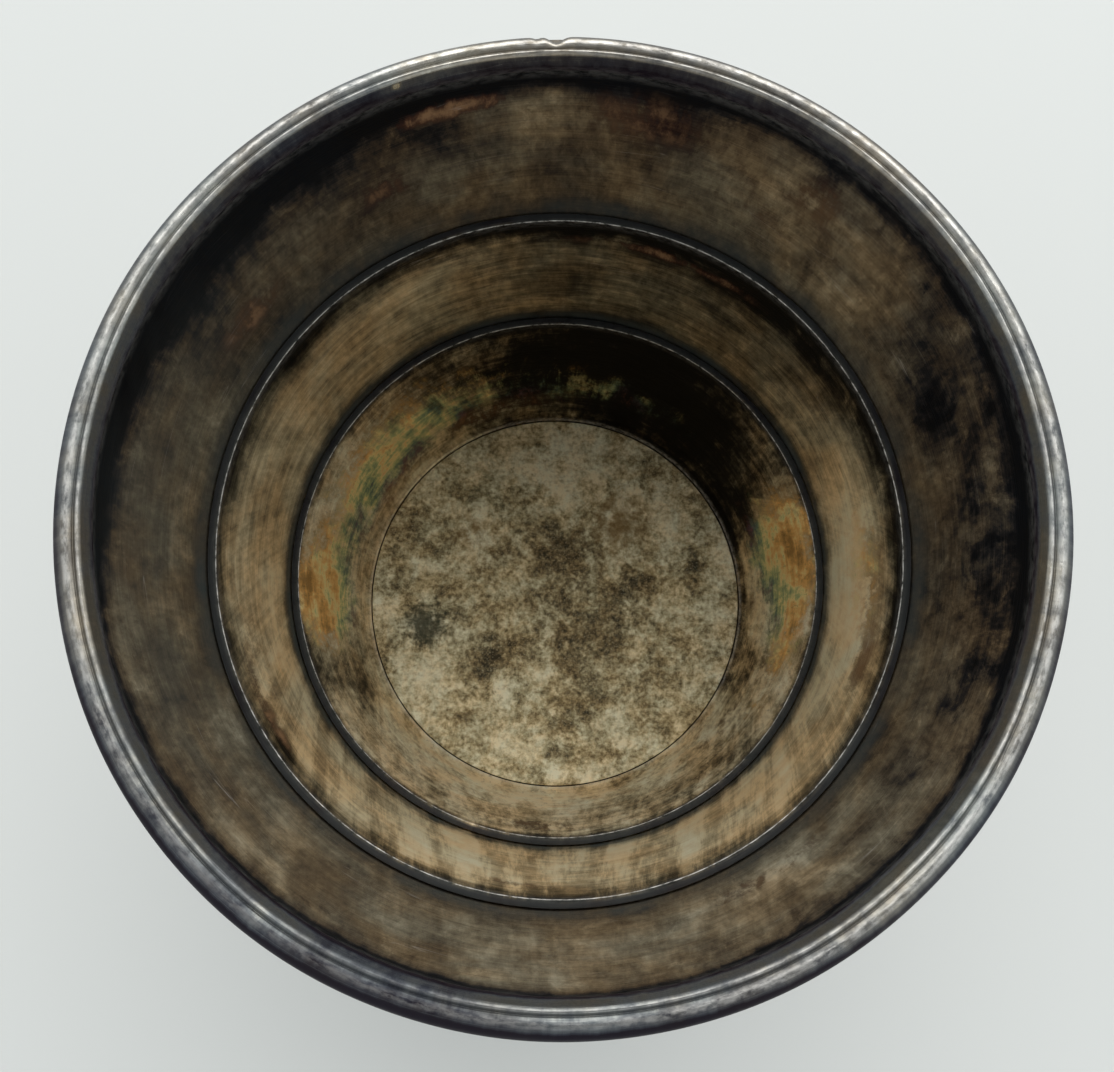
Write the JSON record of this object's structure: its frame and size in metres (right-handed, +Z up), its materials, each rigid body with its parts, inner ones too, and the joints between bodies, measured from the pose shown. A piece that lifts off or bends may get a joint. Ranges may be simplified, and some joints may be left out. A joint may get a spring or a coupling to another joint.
{
  "type": "collapsible metal cup",
  "caption": "Collapsible silver-plated cup: tapered sheet-metal rings telescope over each other onto a flat moulded foot, with a reeded moulding round the rim.",
  "frame": {"origin": "centre of the circle that the foot stands on, with the cup drawn open", "axes": "+Z up along the axis of the rings"},
  "size_m": [0.068, 0.068, 0.0644],
  "materials": {
    "rim_plate": "worn silver plate over brass, rubbed bright on the reeds, dark in the groove",
    "top_ring_plate": "silver plate over brass, heavily tarnished brown-grey, brushed around",
    "middle_ring_plate": "silver plate over brass, smooth golden tarnish",
    "lower_ring_plate": "silver plate over brass, dark tarnish with coloured bands",
    "floor_plate": "silver plate over brass, matt, speckled with dark spots",
    "foot_plate": "silver plate over brass, dull tarnish, spun rings",
    "foot_moulding_plate": "worn silver plate over brass, rubbed along the crest"
  },
  "bodies": {
    "base": {"lower_ring": "lower_ring_plate", "floor_disc": "floor_plate", "base_plate": "foot_plate", "foot_moulding": "foot_moulding_plate"},
    "middle": {"middle_ring": "middle_ring_plate"},
    "top": {"top_ring": "top_ring_plate", "rim_moulding": "rim_plate"}
  },
  "joints": [
    {"name": "middle_ring_slide", "type": "slide", "parent": "base", "child": "middle", "axis": [0, 0, 1], "range_m": [-0.0171, 0]},
    {"name": "top_ring_slide", "type": "slide", "parent": "middle", "child": "top", "axis": [0, 0, 1], "range_m": [-0.019, 0]}
  ]
}
